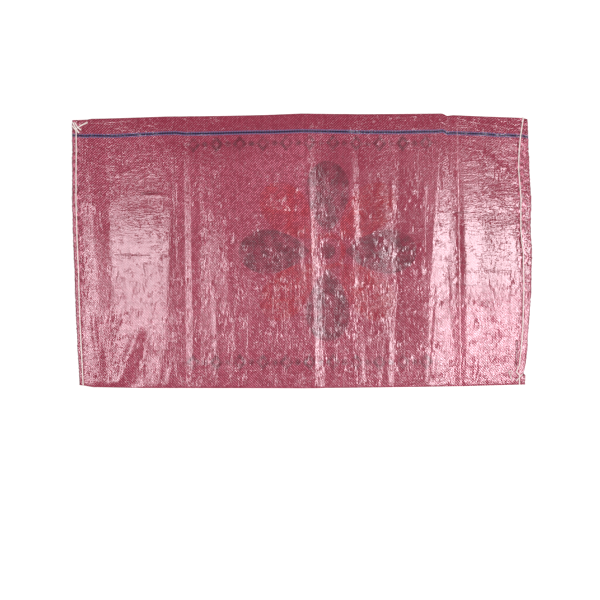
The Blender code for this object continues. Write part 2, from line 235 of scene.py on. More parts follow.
# Sharp creases, finer than the mesh: both ends, the half width, how pale the line is painted (stress
# whitening with a painted highlight; below 0 for a dark line of painted shade) and how high it stands.
CreaseLine = namedtuple("CreaseLine", "along across endAlong endAcross halfWidth pale height")
creaseLines = readTable(CreaseLine, (
    (636.4, 379, 641.6, 0, 1.1, 0.75, 0.10),
    (635.6, 440, 636.4, 379, 0.9, 0.4, 0.06),
    (536.4, 172, 530.2, 94, 0.9, 0.5, 0.08),
    (530.2, 94, 528.9, 3, 1.0, 0.7, 0.10),
    (585.5, 324, 582.2, 288, 0.9, 0.5, 0.08),
    (582.2, 288, 583.0, 225, 0.8, 0.4, 0.08),
    (571.4, 390, 569.7, 308, 0.7, 0.35, 0.05),
    (182.2, 345, 185.5, 7, 0.8, 0.35, 0.08),
    (190.5, 345, 195.0, 60, 0.8, 0.4, 0.08),
    (400.5, 200, 399.7, 6, 1.0, 0.35, 0.08),
    (410.5, 200, 408.0, 6, 0.9, 0.35, 0.08),
    (752.5, 25, 750.5, 20, 1.3, -0.8, -0.3),
    (750.5, 20, 743.0, 18, 1.3, -0.8, -0.3),
    (736.4, 16.4, 732.6, 10.5, 1.2, -0.8, -0.3),
    (732.6, 77, 734.2, 34, 2.4, -0.9, -0.3),
    (700.0, 303, 733.0, 300, 0.9, -0.5, -0.2),
    (698.0, 275, 734.0, 274, 0.9, -0.6, -0.2),
    (698.0, 320, 717.0, 300, 0.8, -0.4, -0.2),
    (630.0, 290, 653.0, 292, 2.8, -0.55, -0.05),
    (636.0, 208, 655.0, 205, 2.2, -0.5, -0.1),
    (629.0, 171, 664.0, 170, 1.8, -0.4, -0.1),
    (696.0, 208, 693.5, 191, 0.9, -0.45, -0.1),
    (66.0, 224, 124.0, 221, 0.9, -0.5, -0.15),
    (113.0, 208, 117.0, 187, 1.1, -0.45, -0.15),
    (72.0, 196, 68.0, 178, 1.2, -0.4, -0.15),
    (112.0, 324, 136.0, 324, 4.0, -0.6, 0.0),
    (106.0, 344, 124.0, 353, 1.2, 0.55, 0.15),
    (66.0, 434.5, 88.0, 436, 0.7, 0.5, 0.05),
    (30.0, 443.0, 92.0, 446, 0.6, 0.45, 0.05),
    (118.0, 437.0, 131.0, 435, 0.7, 0.45, 0.05),
    (664.0, 440.0, 700.0, 437, 0.7, 0.4, 0.05),
))

# How far the rows of tapes drift across the bag: a place along it and the drift.
rowDrift = (
    (0, 2.0), (15, 0.5), (35, -1.0), (67, -2.0), (100, -1.2), (167, 0.2), (184, -1.5), (250, -1.0),
    (300, -0.6), (334, -1.2), (384, -1.2), (450, -1.6), (484, -2.2), (534, -2.7), (604, -2.1), (614, -0.6),
    (626, -2.0), (684, -1.9), (700, -3.1), (750, -2.8),
)

seams = {
    "bottomInset": 6.1,  # of the bottom seam from the cut edge
    "stitch": 7.4,
    "puckerReach": 16.0,
    "puckerHeight": 0.34,
    "puckerWaver": 0.35,  # how far the puckers wander, in stitches
    "waverPitch": 19.0,
    "strength": (0.55, 0.45),  # the puckers' mean strength, and how far it changes
    "strengthPitch": (26.0, 30.0),  # across the bag and along it
    "grooveWidth": 2.2,  # where the thread draws the cloth down
    "grooveDepth": 0.35,
    "knobReach": 7.0,  # of the knobs beside a seam
    "hemKnobs": 2.2,  # how much further they reach on the hem's side
    "swellReach": 90.0,  # of the slow ripples beside the seams
    "swellFade": 30.0,  # they die away this near to a folded edge
}
slowRipples = ((84.0, 0.45, 2.7), (53.0, 0.30, 2.1))  # pitch, height, phase

# The hem thread's distance from the mouth's edge, across the bag.
mouthSeam = (
    (0, 9.5), (38, 10.7), (79, 9.1), (99, 9.2), (139, 10.5), (180, 11.4), (220, 12.6), (241, 14.4),
    (281, 15.1), (322, 15.8), (362, 16.7), (382, 15.7), (403, 13.9), (423, 11.4), (450, 7.0),
)

wrinkling = {
    "falloff": 1.4,  # how fast a patch of wrinkles dies away from its middle
    "bend": 0.6,  # how far its wrinkles bend, in pitches
    "bendPitch": 25.0,
    "lumps": 0.55,  # the share of round wrinkles, the others being sharp ridges
    "ridgePitch": 1.7,  # of the sharp ones, against the round ones
    "creased": 0.34,  # the wrinkle height that brings the fine creases fully out
    "mostCreased": 1.4,
    "foldEnd": 14.0,  # how far past its ends a soft fold dies away
    "foldStart": 0.25,  # its share of its height at its first end
    "foldRise": 3.0,  # how fast it grows from there
    "edgeFade": 8.0,  # all relief dies away this near to a folded edge
}
unevenness = ((34, 60, 3, 0, 0.08, 71), (11, 22, 0, 9, 0.02, 72))  # pitch and shift each way, height, seed


def blend(low, high, share):
    return low + (high - low) * share


def readMarks(marks, at):
    places, values = zip(*marks)
    return np.interp(at, places, values)


def smoothNoise(x, y, seed):
    # even noise from -1 to 1, one lump a unit
    size = 64
    table = np.random.default_rng(seed).uniform(-1, 1, (size, size))
    column, row = np.floor(x).astype(int), np.floor(y).astype(int)
    dx, dy = x - column, y - row
    dx, dy = dx * dx * (3 - 2 * dx), dy * dy * (3 - 2 * dy)
    nextColumn, nextRow = (column + 1) % size, (row + 1) % size
    column, row = column % size, row % size
    low = blend(table[column, row], table[nextColumn, row], dx)
    high = blend(table[column, nextRow], table[nextColumn, nextRow], dx)
    return blend(low, high, dy)


def foldCurve(share, leaving, arriving):
    # level at a swell, straight at a crease
    rise = 3 * share**2 - 2 * share**3
    return rise + (share**3 - 2 * share**2 + share) * leaving + (share**3 - share**2) * arriving


def makeStations():
    # the fold lines, and lines between them at even steps
    rows = [foldLines[0][:6]]
    for start, end in zip(foldLines, foldLines[1:]):
        gap = max(end.alongPlain - start.alongPlain, end.alongStriped - start.alongStriped)
        inSeamZone = end.alongPlain <= bag["seamZone"] or start.alongPlain >= bag["length"] - bag["seamZone"]
        steps = max(1, math.ceil(gap / bag["seamStationStep" if inSeamZone else "stationStep"]))
        for step in range(1, steps + 1):
            share = step / steps
            eased = foldCurve(share, start.sharp, end.sharp)
            places = [blend(start[i], end[i], share) for i in range(2)]
            heights = [blend(start[i], end[i], eased) for i in range(2, 6)]
            rows.append(places + heights)
    return [np.array(column) for column in zip(*rows)]


stationPlain, stationStriped, liftPlain, liftMiddle, liftStriped, stackHeight = makeStations()


def linesAt(across):
    # every station's place along the bag, underside and stack, for each place in an array across it
    share = across[None, :] / bag["width"]
    along = stationPlain[:, None] + (stationStriped - stationPlain)[:, None] * share
    bow = (liftMiddle - (liftPlain + liftStriped) / 2)[:, None]
    lift = liftPlain[:, None] + (liftStriped - liftPlain)[:, None] * share + bow * 4 * share * (1 - share)
    fullness = np.sin(np.pi * np.clip(share, 0, 1)) ** 0.5
    full = np.maximum(bag["edgeStack"], stackHeight - bag["thinner"])[:, None]
    stack = bag["edgeStack"] + (full - bag["edgeStack"]) * fullness
    return along, np.maximum(lift, 0.0), stack


def heightsAt(along, lines, heights):
    # one height a column, read between the stations
    return np.array([np.interp(a, lines[:, i], heights[:, i]) for i, a in enumerate(along)])


def flatPlace(along, across):
    # where a place on the cloth lies on the table
    nearBottom = np.clip(1 - along / bag["endReach"], 0, 1) ** 2
    nearMouth = np.clip(1 - (bag["length"] - along) / bag["endReach"], 0, 1) ** 2
    x = along - bag["length"] / 2
    x = x - readMarks(bottomEnd, across) * nearBottom + readMarks(mouthEnd, across) * nearMouth
    half = bag["width"] / 2
    plainSide, stripedSide = -half - readMarks(plainEdge, along), half + readMarks(stripedEdge, along)
    return x, blend(plainSide, stripedSide, across / bag["width"])


def mouthSeamAt(across):
    return bag["length"] - readMarks(mouthSeam, across)


def toFoldedEdge(across):
    return np.minimum(across, bag["width"] - across)


def seamRelief(along, across):
    fromSeam = np.minimum(np.abs(along - seams["bottomInset"]), np.abs(along - mouthSeamAt(across)))
    slow = sum(h * (0.5 + 0.5 * np.sin(math.tau * across / pitch + phase)) for pitch, h, phase in slowRipples)
    slow = slow * np.clip(toFoldedEdge(across) / seams["swellFade"], 0, 1)

    # the cloth swells between the stitches and is drawn down under the thread
    waver = seams["puckerWaver"] * smoothNoise(across / seams["waverPitch"], along * 0, 5)
    ripple = 0.5 + 0.5 * np.cos(math.tau * (across / seams["stitch"] + waver))
    pitchAcross, pitchAlong = seams["strengthPitch"]
    mean, change = seams["strength"]
    strength = mean + change * smoothNoise(across / pitchAcross, along / pitchAlong, 9)
    puckers = seams["puckerHeight"] * ripple * strength * np.exp(-fromSeam / seams["puckerReach"])
    drawn = np.exp(-((fromSeam / seams["grooveWidth"]) ** 2))
    swell = slow * np.clip(1 - fromSeam / seams["swellReach"], 0, 1)
    return swell + puckers * (1 - drawn) - seams["grooveDepth"] * drawn


def foldRelief(fold, along, across):
    run = np.array((fold.endAlong - fold.along, fold.endAcross - fold.across))
    length = np.hypot(*run)
    toAlong, toAcross = along - fold.along, across - fold.across
    share = (toAlong * run[0] + toAcross * run[1]) / length**2
    off = (toAlong * run[1] - toAcross * run[0]) / length
    within = np.clip(share, 0, 1)
    width = blend(fold.width, fold.endWidth, within)
    past = (share - within) * length
    size = np.clip(share * wrinkling["foldRise"] + wrinkling["foldStart"], 0, 1)
    return fold.height * size * np.exp(-((off / width) ** 2) - (past / wrinkling["foldEnd"]) ** 2)


def reachOf(patch, along, across):
    # 0 in a patch's middle, 1 where its reach ends
    fromAlong, fromAcross = along - patch.along, across - patch.across
    return (fromAlong / patch.reachAlong) ** 2 + (fromAcross / patch.reachAcross) ** 2


def wrinkleRelief(number, patch, along, across):
    # the whole numbers added below only keep the noises apart
    turn = math.radians(patch.turn)
    toAlong, toAcross = along - patch.along, across - patch.across
    downRun = toAlong * math.cos(turn) + toAcross * math.sin(turn)
    overRun = toAcross * math.cos(turn) - toAlong * math.sin(turn)
    window = np.exp(-wrinkling["falloff"] * reachOf(patch, along, across))
    bendPitch = wrinkling["bendPitch"]
    bend = wrinkling["bend"] * smoothNoise(downRun / bendPitch + 7, overRun / bendPitch, number + 40)
    lumps = smoothNoise(overRun / patch.pitch + bend + 31, downRun / patch.length + 11, number + 100)
    ridgePitch = patch.pitch * wrinkling["ridgePitch"]
    ridges = 1 - 2 * np.abs(smoothNoise(overRun / ridgePitch + bend, downRun / patch.length + 5, number))
    return patch.height * window * blend(ridges, lumps, wrinkling["lumps"])


def relief(along, across):
    # what the front panel has beyond the slopes that both panels share
    height = seamRelief(along, across)
    for fold in softFolds:
        height += foldRelief(fold, along, across)
    for number, patch in enumerate(wrinklePatches):
        height += wrinkleRelief(number, patch, along, across)
    for pitchAlong, pitchAcross, shiftAlong, shiftAcross, size, seed in unevenness:
        x, y = along / pitchAlong + shiftAlong, across / pitchAcross + shiftAcross
        height += size * smoothNoise(x, y, seed)
    return height * np.clip(toFoldedEdge(across) / wrinkling["edgeFade"], 0, 1)


def frontHeight(along, across):
    lines, lift, stack = linesAt(across)
    return heightsAt(along, lines, lift + stack) + relief(along, across)


def backHeight(along, across):
    lines, lift, _ = linesAt(across)
    return heightsAt(along, lines, lift)


def tubeColumns():
    # once round the pressed tube from the striped edge: the place across, and 1 on the front, -1 on the back
    half = bag["edgeStack"] / 2
    front = np.linspace(bag["width"] - half, half, bag["frontColumns"])
    back = np.linspace(half, bag["width"] - half, bag["backColumns"])
    turns = np.linspace(math.pi / 2, -math.pi / 2, bag["edgeColumns"] + 2)[1:-1]
    plainTurn = [(half - half * math.cos(t), math.sin(t)) for t in turns]
    stripedTurn = [(bag["width"] - half + half * math.cos(t), -math.sin(t)) for t in turns]
    return np.array([(c, 1.0) for c in front] + plainTurn + [(c, -1.0) for c in back] + stripedTurn)


def tubeRing(along, lift, stack, columns, inward=0.0):
    # one ring of the tube, or of a ring that lies inward millimetres inside it
    across, side = columns[:, 0], columns[:, 1]
    x, y = flatPlace(along, across)
    upright = np.sqrt(np.clip(1 - side**2, 0, 1))
    z = lift + stack / 2 + (stack / 2 - inward) * side
    z += np.where(side >= 1.0, relief(along, across), 0.0)
    return x, y - np.sign(y) * inward * upright, z


def hemRings(columns, lines, lifts, stacks):
    # a tight turn at the mouth's edge, then the hem runs back inside to its cut edge
    across = columns[:, 0]
    mouth, gap = lines[-1], bag["hemGap"]
    rings = []
    for step in range(1, bag["hemTurnSteps"] + 1):
        turn = math.pi * step / bag["hemTurnSteps"]
        out = gap / 2 * math.sin(turn)
        x, y, z = tubeRing(mouth, lifts[-1], stacks[-1], columns, gap / 2 * (1 - math.cos(turn)))
        rings.append((x + out, y, z, mouth + out))
    full = bag["hemDepth"] + bag["hemUneven"] * smoothNoise(across / bag["hemUnevenPitch"], across * 0, 3)
    for step in range(1, bag["hemSteps"] + 1):
        depth = full * step / bag["hemSteps"]
        lift, stack = (heightsAt(mouth - depth, lines, heights) for heights in (lifts, stacks))
        rings.append((*tubeRing(mouth - depth, lift, stack, columns, gap), mouth + depth))
    return rings


def frayed(x, along, across):
    # both ends waver between the stitches and from tape to tape
    nearMouth = np.clip(1 - (bag["length"] - np.minimum(along, bag["length"])) / bag["mouthFrayReach"], 0, 1)
    nearBottom = np.clip(1 - along / bag["bottomFrayReach"], 0, 1)
    out = bag["scallop"] * np.cos(math.tau * across / seams["stitch"])
    out += bag["fray"] * smoothNoise(across / bag["frayPitch"], across * 0, 21)
    return x + (nearMouth - nearBottom) * out


def makeCloth():
    # rings of points, and for each point its place along the cloth and round it, in metres
    columns = tubeColumns()
    across, side = columns[:, 0], columns[:, 1]
    lines, lifts, stacks = linesAt(across)
    rings = [(*tubeRing(*row, columns), row[0]) for row in zip(lines, lifts, stacks)]
    rings += hemRings(columns, lines, lifts, stacks)
    around = np.where(side > 0, across, 2 * bag["width"] - across)
    points, girth = [], []
    for x, y, z, along in rings:
        points.append(np.stack((frayed(x, along, across), y, z), axis=1))
        girth.append(np.stack((along, around - readMarks(rowDrift, along)), axis=1) * mm)
    return np.array(points), np.array(girth)


def gridMesh(name, points, girth):
    # rows of points closed into a tube, with the cloth's own length and girth as its UV map
    rows, count = points.shape[:2]
    row, column = np.meshgrid(np.arange(rows - 1), np.arange(count), indexing="ij")
    here, below, beside = row * count, (row + 1) * count, (column + 1) % count
    corners = np.stack((here + column, here + beside, below + beside, below + column), axis=-1).reshape(-1, 4)
    mesh = bpy.data.meshes.new(name)
    mesh.from_pydata((points.reshape(-1, 3) * mm).tolist(), [], corners.tolist())
    values = girth.reshape(-1, 2)[corners]
    whole = 2 * bag["width"] * mm
    wraps = np.ptp(values[:, :, 1], axis=1) > whole / 2
    values[:, :, 1] -= np.where(wraps[:, None] & (values[:, :, 1] > whole / 2), whole, 0.0)
    uv = mesh.uv_layers.new(name="clothWeave")
    uv.data.foreach_set("uv", values.ravel())
    mesh.shade_smooth()
    return mesh


def clothMarks(girth):
    # where fine creases lie along the bag or stand across it, where the weave shows, and where a seam is near
    along = girth[..., 0] / mm
    around = girth[..., 1] / mm + readMarks(rowDrift, along)
    across = np.minimum(around, 2 * bag["width"] - around)
    lying, standing, shown = np.zeros_like(along), np.zeros_like(along), np.ones_like(along)
    for patch in wrinklePatches:
        target = lying if patch.turn < 45 else standing
        window = np.exp(-wrinkling["falloff"] * reachOf(patch, along, across))
        target += patch.height / wrinkling["creased"] * window
    for patch in weavePatches:
        shown += (patch.amount - shown) * np.exp(-(reachOf(patch, along, across) ** 2))
    fromBottom = along - seams["bottomInset"]
    fromMouth = along - mouthSeamAt(across)
    fromMouth = np.where(fromMouth > 0, fromMouth / seams["hemKnobs"], fromMouth)
    fromSeam = np.minimum(np.abs(fromBottom), np.abs(fromMouth)) / seams["knobReach"]
    return {
        "lyingCreases": np.minimum(lying, wrinkling["mostCreased"]),
        "standingCreases": np.minimum(standing, wrinkling["mostCreased"]),
        "weaveShown": shown,
        "besideSeam": np.exp(-(fromSeam**2)),
    }


print("weaving and pressing the cloth")
clothPoints, clothGirth = makeCloth()
low, high = clothPoints.min(axis=(0, 1)), clothPoints.max(axis=(0, 1))
nodeLow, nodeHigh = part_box("bag_cloth")
shiftX = (nodeLow.x + nodeHigh.x) / 2 / mm - (low[0] + high[0]) / 2
shiftY = (nodeLow.y + nodeHigh.y) / 2 / mm - (low[1] + high[1]) / 2
clothPoints += np.array((shiftX, shiftY, 0.0))
clothMesh = gridMesh("wovenBag", clothPoints, clothGirth)
for markName, markValues in clothMarks(clothGirth).items():
    mark = clothMesh.attributes.new(markName, "FLOAT", "POINT")
    mark.data.foreach_set("value", markValues.ravel())
cloth = addObject("wovenBag", clothMesh)
print("cloth faces", len(clothMesh.polygons))


class Wire:
    # a node's output that is reckoned with like a number

    def __init__(self, desk, socket):
        self.desk = desk
        self.socket = socket

    def __add__(self, other):
        return self.desk.maths("ADD", self, other)

    def __sub__(self, other):
        return self.desk.maths("SUBTRACT", self, other)

    def __rsub__(self, other):
        return self.desk.maths("SUBTRACT", other, self)

    def __mul__(self, other):
        return self.desk.maths("MULTIPLY", self, other)

    def __truediv__(self, other):
        return self.desk.maths("DIVIDE", self, other)

    def __abs__(self):
        return self.desk.maths("ABSOLUTE", self)

    __radd__ = __add__


class Outputs:
    # a node's outputs, by name or place

    def __init__(self, desk, node):
        self.desk = desk
        self.sockets = node.outputs

    def __getitem__(self, key):
        return Wire(self.desk, self.sockets[key])


class NodeDesk:
    # adds and joins the nodes of one tree

    def __init__(self, tree):
        self.tree = tree

    def fill(self, sockets, values):
        # numbers or wires, by name or in order
        for key, value in values.items() if isinstance(values, dict) else enumerate(values):
            if isinstance(value, Wire):
                self.tree.links.new(value.socket, sockets[key])
            else:
                sockets[key].default_value = value

    def add(self, kind, inputs=(), **settings):
        node = self.tree.nodes.new(kind)
        for key, value in settings.items():
            setattr(node, key, value)
        self.fill(node.inputs, inputs)
        return Outputs(self, node)

    def maths(self, operation, *values):
        return self.add("ShaderNodeMath", values, operation=operation)[0]

    def vector(self, operation, *values):
        output = 1 if operation in ("DOT_PRODUCT", "DISTANCE") else 0
        return self.add("ShaderNodeVectorMath", values, operation=operation)[output]

    def split(self, vector):
        outputs = self.add("ShaderNodeSeparateXYZ", (vector,))
        return outputs[0], outputs[1]

    def join(self, x, y, z=0.0):
        return self.add("ShaderNodeCombineXYZ", (x, y, z))[0]

    def ramp(self, value, low, high, toLow=0.0, toHigh=1.0, smooth=True):
        kind = "SMOOTHSTEP" if smooth else "LINEAR"
        return self.add("ShaderNodeMapRange", (value, low, high, toLow, toHigh), interpolation_type=kind)[0]

    def mixColour(self, share, first, second, blendType="MIX"):
        inputs = {0: share, 6: first, 7: second}
        return self.add("ShaderNodeMix", inputs, data_type="RGBA", blend_type=blendType)[2]

    def noise(self, vector, scale, detail=2.0, roughness=0.5):
        inputs = {"Vector": vector, "Scale": scale, "Detail": detail, "Roughness": roughness}
        return self.add("ShaderNodeTexNoise", inputs, noise_dimensions="2D")[0]

    def whiteNoise(self, x, y):
        # a random value and a random colour for each pair of numbers
        return self.add("ShaderNodeTexWhiteNoise", {"Vector": self.join(x, y)}, noise_dimensions="2D")

    def mark(self, name):
        return self.add("ShaderNodeAttribute", attribute_name=name)["Fac"]

    def bump(self, height, distance=1.0):
        return self.add("ShaderNodeBump", {"Strength": 1.0, "Distance": distance, "Height": height})[0]

    def group(self, group, **inputs):
        node = self.tree.nodes.new("ShaderNodeGroup")
        node.node_tree = group
        self.fill(node.inputs, inputs)
        return Outputs(self, node)


def addInputs(tree, rows):
    # each row is a name, a kind and a first value; gives the sockets' identifiers by name
    identifiers = {}
    for name, kind, value in rows:
        socket = tree.interface.new_socket(name, in_out="INPUT", socket_type=kind)
        if value is not None:
            socket.default_value = value
        identifiers[name] = socket.identifier
    return identifiers


def newGroup(name, inputs, outputs):
    # a shader group that gives numbers; an input is a number, or a vector where its value is None
    group = bpy.data.node_groups.new(name, "ShaderNodeTree")
    for key, value in inputs.items():
        kind = "NodeSocketVector" if value is None else "NodeSocketFloat"
        addInputs(group, ((key, kind, value),))
    for key in outputs:
        group.interface.new_socket(key, in_out="OUTPUT", socket_type="NodeSocketFloat")
    desk = NodeDesk(group)
    return group, desk, desk.add("NodeGroupInput")


def newMaterial(name):
    material = bpy.data.materials.new(name)
    material.use_nodes = True
    return material, NodeDesk(material.node_tree), material.node_tree.nodes["Principled BSDF"].inputs


weaveLook = {
    "warpRound": 0.8,  # how far a crossing falls to the tape's sides, against along it
    "weftRound": 0.45,
    "twist": -1.5,  # how far the slant draws out a warp crossing
    "weftTwist": 0.6,  # how far it draws out a weft one, against that
    "leanPlaces": (38.0, 0.40, 0.66),  # lumps a metre, and where the noise begins and is full
    "leanPitch": (1.73, 0.16),  # of the leaning, from tape to tape and along one
    "crownGlint": (0.04, 0.26),  # the fall where a crossing's pale crown begins to fade, and where it has faded; the crown is painted paler, partly film haze and partly a painted highlight
    "gap": (0.020, 0.05),  # how near a cell's corner the gap between four tapes begins and is full
}


def makeWeaveGroup():
    # plain weave of flat tapes. Heights are in tape widths and give a slope of 1 at the side of a crossing.
    look = weaveLook
    group, desk, start = newGroup(
        "tapeWeave",
        {"girth": None, "tapeWidth": 0.00212, "slant": 0.5, "tilt": 0.5, "lean": 1.0},
        ("height", "warpOver", "crownGlint", "tapeTone", "crossingTone", "gap"),
    )
    width = start["tapeWidth"]
    u, v = desk.split(desk.vector("DIVIDE", start["girth"], desk.join(width, width, 1.0)))
    cellU, cellV = desk.maths("FLOOR", u), desk.maths("FLOOR", v)
    inU, inV = u - cellU - 0.5, v - cellV - 0.5
    warpOver = abs(desk.maths("MODULO", cellU + cellV, 2.0))
    weftOver = 1.0 - warpOver

    # each crossing is a low dome, drawn out towards one diagonal
    squareU, squareV = inU * inU, inV * inV
    twist = inU * inV * start["slant"] * look["twist"]
    warpDrop = squareU + squareV * look["warpRound"] + twist
    weftDrop = squareU * look["weftRound"] + squareV + twist * look["weftTwist"]
    drop = warpDrop * warpOver + weftDrop * weftOver

    # and tilts a little its own way
    tones = desk.add("ShaderNodeSeparateColor", (desk.whiteNoise(cellU, cellV)[1],))
    inner = (1.0 - squareU * 4.0) * (1.0 - squareV * 4.0)
    tilt = (inU * (tones[0] - 0.5) + inV * (tones[1] - 0.5)) * start["tilt"] * inner

    # the tapes that run across the bag lean, now this way and now that
    fromTape, alongTape = look["leanPitch"]
    leaning = desk.noise(desk.join(cellU * fromTape, v * alongTape), 1.0, 1.0)
    lumps, low, high = look["leanPlaces"]
    where = desk.ramp(desk.noise(start["girth"], lumps, 1.0), low, high)
    lean = (leaning - 0.5) * inU * where * start["lean"]
    warpTone, weftTone = desk.whiteNoise(cellV, 3.5)[0], desk.whiteNoise(cellU, 8.5)[0]
    desk.add("NodeGroupOutput", {
        "height": tilt - drop + lean,
        "warpOver": warpOver,
        # where tapeColour paints each crossing's crown paler: partly film haze, partly a painted highlight
        "crownGlint": desk.ramp(warpDrop, *look["crownGlint"], 1.0, 0.0) * warpOver,
        "tapeTone": warpTone * warpOver + weftTone * weftOver,
        "crossingTone": tones[2],
        "gap": desk.ramp(squareU * squareV, *look["gap"]),
    })
    return group


creaseLook = {
    "driftScale": 45.0,  # lumps a metre
    "drift": 0.005,  # metres
    "roughness": 0.45,
    "hairline": 0.048,  # half width, in the noise's own values
}


def makeCreaseGroup():
    # single uneven creases of the film where a noise is highest, longer one way than the other, and hairlines
    # between them. Lengths are in metres.
    group, desk, start = newGroup(
        "filmCreases",
        {"girth": None, "alongLength": 0.01, "acrossLength": 0.01, "from": 0.5, "to": 0.75},
        ("height", "hairline"),
    )
    look = creaseLook
    drift = desk.noise(start["girth"], look["driftScale"], 1.0)
    shift = desk.vector("MULTIPLY", desk.join(drift, 1.0 - drift), (look["drift"], look["drift"], 0.0))
    moved = desk.vector("ADD", start["girth"], shift)
    lengths = desk.join(start["alongLength"], start["acrossLength"], 1.0)
    lumps = desk.noise(desk.vector("DIVIDE", moved, lengths), 1.0, 2.0, look["roughness"])
    desk.add("NodeGroupOutput", {
        "height": desk.ramp(lumps, start["from"], start["to"]),
        "hairline": desk.ramp(abs(lumps - 0.5), 0.0, look["hairline"], 1.0, 0.0),
    })
    return group


def makeLineGroup():
    # 1 along one straight crease, falling to 0 at its half width. Lengths are in metres.
    group, desk, start = newGroup(
        "creaseLine",
        {"girth": None, "begin": None, "direction": None, "length": 0.1, "halfWidth": 0.001},
        ("mask",),
    )
    toPoint = desk.vector("SUBTRACT", start["girth"], start["begin"])
    run = desk.vector("DOT_PRODUCT", toPoint, start["direction"])
    run = desk.maths("MINIMUM", desk.maths("MAXIMUM", run, 0.0), start["length"])
    nearest = desk.vector("MULTIPLY", start["direction"], desk.join(run, run, run))
    off = desk.vector("DISTANCE", toPoint, nearest)
    desk.add("NodeGroupOutput", {"mask": desk.ramp(off / start["halfWidth"], 0.2, 1.0, 1.0, 0.0)})
    return group


printLook = {
    "flowerAlong": 0.420,  # metres; the middle of the flower
    "flowerAcross": 0.226,
    "petals": 8,
    "petalStart": 0.030,
    "petalEnd": 0.148,
    "petalHalfWidth": 0.037,
    "petalPoint": 0.9,  # the power by which its inner end widens
    "petalScale": 2.49,  # brings its widest place to 1
    "eye": 0.0126,
    "ring": 0.02625,
    "ringHalfWidth": 0.004,
    "rowStart": 0.196,
    "rowEnd": 0.584,
    "rowPast": 0.016,  # how far the rows go past their first and last diamonds
    "rows": (0.404, 0.044),
    "pitch": 0.0388,
    "diamond": 0.0135,
    "diamondNarrow": 1.15,  # how much narrower it is along the bag than across it
    "hollow": 0.00567,
    "dot": 0.0045,
    "softness": 0.0022,
}


def makePrintGroup():
    # an ordinary garden print: a flower of dark and red petals between two rows of diamonds and dots
    look = printLook
    group, desk, start = newGroup("flowerPrint", {"along": 0.0, "across": 0.0}, ("dark", "red"))

    def inside(distance):  # 1 where a distance to an edge is well below 0
        return desk.ramp(distance, -look["softness"], look["softness"], 1.0, 0.0)

    def farOff(x, y):
        return desk.maths("SQRT", x * x + y * y)

    toAlong, toAcross = start["along"] - look["flowerAlong"], start["across"] - look["flowerAcross"]
    radius = farOff(toAlong, toAcross)
    sector = math.tau / look["petals"]
    turn = desk.maths("ARCTAN2", toAcross, toAlong) + (math.pi + sector / 2)
    petal = desk.maths("FLOOR", turn / sector)
    offAxis = abs(turn - petal * sector - sector / 2)
    share = desk.ramp(radius, look["petalStart"], look["petalEnd"], smooth=False)
    widening = desk.maths("POWER", share, look["petalPoint"])
    bulge = widening * desk.maths("SQRT", 1.0 - share) * look["petalScale"]
    petals = inside(offAxis * radius - bulge * look["petalHalfWidth"])
    petals = petals * desk.maths("GREATER_THAN", bulge, 0.0)
    isRed = abs(desk.maths("MODULO", petal, 2.0))
    red = petals * isRed + inside(abs(radius - look["ring"]) - look["ringHalfWidth"])
    dark = petals * (1.0 - isRed) + inside(radius - look["eye"])
    begun = desk.maths("GREATER_THAN", start["along"], look["rowStart"] - look["rowPast"])
    going = desk.maths("LESS_THAN", start["along"], look["rowEnd"] + look["rowPast"])
    for rowAcross in look["rows"]:
        offRow = abs(start["across"] - rowAcross)
        onRow = desk.maths("PINGPONG", start["along"] - look["rowStart"], look["pitch"] / 2)
        fromDiamond = onRow * look["diamondNarrow"] + offRow
        diamond = inside(fromDiamond - look["diamond"]) - inside(fromDiamond - look["hollow"])
        dot = inside(farOff(look["pitch"] / 2 - onRow, offRow) - look["dot"])
        dark = dark + (diamond + dot) * (begun * going)
    desk.add("NodeGroupOutput", {
        "dark": desk.maths("MINIMUM", dark, 1.0),
        "red": desk.maths("MINIMUM", red, 1.0),
    })
    return group


print("mixing the cloth's finish")
weaveGroup = makeWeaveGroup()
creaseGroup = makeCreaseGroup()
lineGroup = makeLineGroup()
printGroup = makePrintGroup()

clothLook = {
    "tapeWidth": 0.002117,  # metres, 12 tapes to the inch
    "body": (0.215, 0.014, 0.036, 1.0),
    # the deepest tone of the tapes; the dark crease lines and the nips use it as painted shade
    "deep": (0.125, 0.006, 0.018, 1.0),
    "deepness": 0.6,  # in the gaps and on the darkest tapes
    # the paler pink of the crossings' crowns and of the knobs: partly film haze, partly a painted highlight
    "pale": (0.76, 0.24, 0.35, 1.0),
    "paleness": 0.78,
    "toneSpan": (0.1, 0.9),  # the random tones from which a tape starts to darken, and is darkest
    "leastCrown": 0.35,  # of a crossing's pale crown, partly a painted highlight, and of the ink at a crossing
    "leastInk": 0.6,
    "whitened": (0.80, 0.45, 0.52, 1.0),  # where the film is creased: stress whitening, and a painted highlight along the crests
    "stripeAt": 0.4223,  # metres from the plain edge
    "weaveSlope": 0.055,  # at the side of a crossing
    "weaveMost": 1.2,  # how far a weave patch may raise it
    "tilt": 0.5,
    "lean": 8.0,
    "roughness": 0.07,
    "crossingDullness": 0.04,  # more roughness by the crossing
    "ior": 1.42,
    "glint": (1.0, 0.89, 0.96, 1.0),
    "lineDrift": 90.0,  # lumps a metre of the crease lines' waver
    "lineWaver": 0.0008,  # metres, like the heights below
    "creaseHeight": 0.00003,
    "hairHeight": 0.00010,
    "longHairHeight": 0.00018,
    "lyingHeight": 0.000084,
    "standingHeight": 0.00014,
    "knobHeight": 0.00040,
    # painted highlight on the knobs' tops and painted shade in the nips between them
    "knobPaleness": 0.35,
    "nips": 0.45,
}
# blue on both sides of navy: where a band is full and where it ends, its strength under and over a crossing,
# and its colour
stripeBands = (
    (0.0031, 0.0036, 0.25, 0.95, (0.13, 0.13, 0.27, 1.0)),
    (0.0010, 0.0019, 0.88, 1.0, (0.006, 0.010, 0.032, 1.0)),
)
